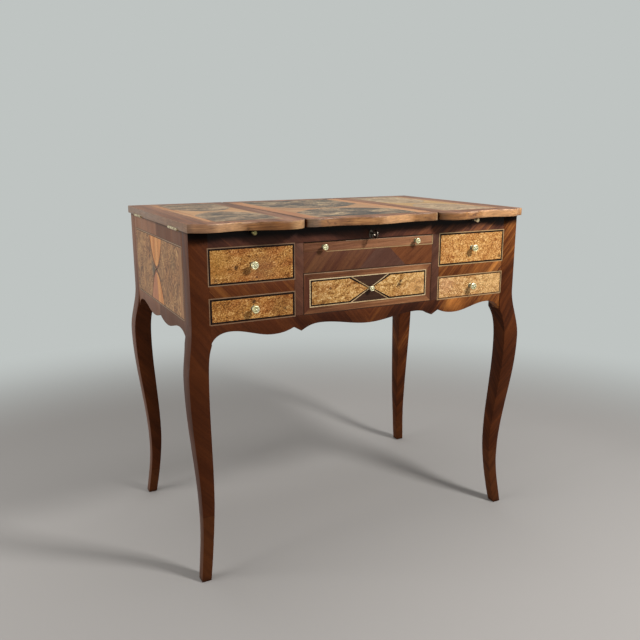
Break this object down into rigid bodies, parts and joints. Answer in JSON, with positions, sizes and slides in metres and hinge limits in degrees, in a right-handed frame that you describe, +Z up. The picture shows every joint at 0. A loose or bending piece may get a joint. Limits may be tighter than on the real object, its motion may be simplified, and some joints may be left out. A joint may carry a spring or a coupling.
{
  "type": "dressing_table",
  "caption": "Rococo style poudreuse dressing table on cabriole legs, with hinged top flaps, mirror, writing slide, drawers, lock and key",
  "frame": {"origin": "on the floor under the middle of the overall box; seen from the front the table faces -Y", "axes": "+X to the right seen from the front, +Y to the back, +Z up"},
  "size_m": [0.8198, 0.5244, 0.75],
  "materials": {
    "rosewood_veneer": "satin polish",
    "burl_veneer": "satin polish",
    "plain_wood": "raw",
    "brass": "aged polish",
    "steel": "aged",
    "mirror_glass": "polished",
    "leather": "worn"
  },
  "bodies": {
    "carcass": {"leg_front_left": "rosewood_veneer", "leg_front_right": "rosewood_veneer", "leg_back_left": "rosewood_veneer", "leg_back_right": "rosewood_veneer", "front_apron": "rosewood_veneer", "side_panel_left": "rosewood_veneer", "side_panel_right": "rosewood_veneer", "back_panel": "plain_wood", "frieze_rail": "rosewood_veneer", "divider_left": "rosewood_veneer", "divider_right": "rosewood_veneer", "drawer_rail_left": "rosewood_veneer", "drawer_rail_right": "rosewood_veneer", "middle_rail": "rosewood_veneer", "bottom_board_left": "plain_wood", "bottom_board_right": "plain_wood", "bottom_board_centre": "plain_wood", "well_floor_left": "plain_wood", "well_floor_right": "plain_wood", "slide_bed": "plain_wood", "mirror_tray_floor": "plain_wood", "drawer_guides": "plain_wood", "glue_blocks": "plain_wood", "upper_front_left": "burl_veneer", "upper_front_right": "burl_veneer", "upper_knob_left": "brass", "upper_knob_right": "brass", "lock_case": "steel", "key_plate": "brass", "hinge_leaves_carcass": "brass"},
    "flap_left": {"flap_left": "rosewood_veneer", "hinge_leaves_flap_left": "brass", "catch_keeper_left": "brass"},
    "flap_right": {"flap_right": "rosewood_veneer", "hinge_leaves_flap_right": "brass", "catch_keeper_right": "brass"},
    "flap_centre": {"flap_centre": "rosewood_veneer", "hinge_leaves_flap_centre": "brass", "mirror_frame": "rosewood_veneer", "mirror_glass": "mirror_glass", "lock_strike": "brass"},
    "slide": {"slide_board": "rosewood_veneer", "slide_leather": "leather", "slide_knob_left": "brass", "slide_knob_right": "brass"},
    "drawer_left": {"drawer_left_front": "burl_veneer", "drawer_left_box": "plain_wood", "drawer_left_knob": "brass"},
    "drawer_right": {"drawer_right_front": "burl_veneer", "drawer_right_box": "plain_wood", "drawer_right_knob": "brass"},
    "drawer_centre": {"drawer_centre_front": "burl_veneer", "drawer_centre_box": "plain_wood", "drawer_centre_bottom": "plain_wood", "drawer_centre_knob": "brass"},
    "catch_left": {"catch_bolt_left": "brass"},
    "catch_right": {"catch_bolt_right": "brass"},
    "key": {"key": "steel"},
    "lock_bolt": {"lock_bolt": "steel"}
  },
  "joints": [
    {"name": "flap_left_hinge", "type": "hinge", "parent": "carcass", "child": "flap_left", "pos_m": [-0.399, 0, 0.7335], "axis": [0, -1, 0], "range_deg": [0, 180]},
    {"name": "flap_right_hinge", "type": "hinge", "parent": "carcass", "child": "flap_right", "pos_m": [0.399, 0, 0.7335], "axis": [0, 1, 0], "range_deg": [0, 180]},
    {"name": "flap_centre_hinge", "type": "hinge", "parent": "carcass", "child": "flap_centre", "pos_m": [0, 0.2513, 0.7335], "axis": [-1, 0, 0], "range_deg": [0, 100]},
    {"name": "slide_pull", "type": "slide", "parent": "carcass", "child": "slide", "axis": [0, -1, 0], "range_m": [0, 0.25]},
    {"name": "drawer_left_pull", "type": "slide", "parent": "carcass", "child": "drawer_left", "axis": [0, -1, 0], "range_m": [0, 0.3]},
    {"name": "drawer_right_pull", "type": "slide", "parent": "carcass", "child": "drawer_right", "axis": [0, -1, 0], "range_m": [0, 0.3]},
    {"name": "drawer_centre_pull", "type": "slide", "parent": "carcass", "child": "drawer_centre", "axis": [0, -1, 0], "range_m": [0, 0.3]},
    {"name": "catch_left_push", "type": "slide", "parent": "carcass", "child": "catch_left", "axis": [0, 1, 0], "range_m": [0, 0.008]},
    {"name": "catch_right_push", "type": "slide", "parent": "carcass", "child": "catch_right", "axis": [0, 1, 0], "range_m": [0, 0.008]},
    {"name": "key_turn", "type": "hinge", "parent": "carcass", "child": "key", "pos_m": [0, -0.2212, 0.7115], "axis": [0, 1, 0], "range_deg": [0, 180]},
    {"name": "lock_bolt_throw", "type": "slide", "parent": "carcass", "child": "lock_bolt", "axis": [0, 0, 1], "range_m": [0, 0.007]}
  ],
  "couplings": [
    {"joint": "lock_bolt_throw", "follows": "key_turn", "m_per_rad": 0.0022282}
  ]
}
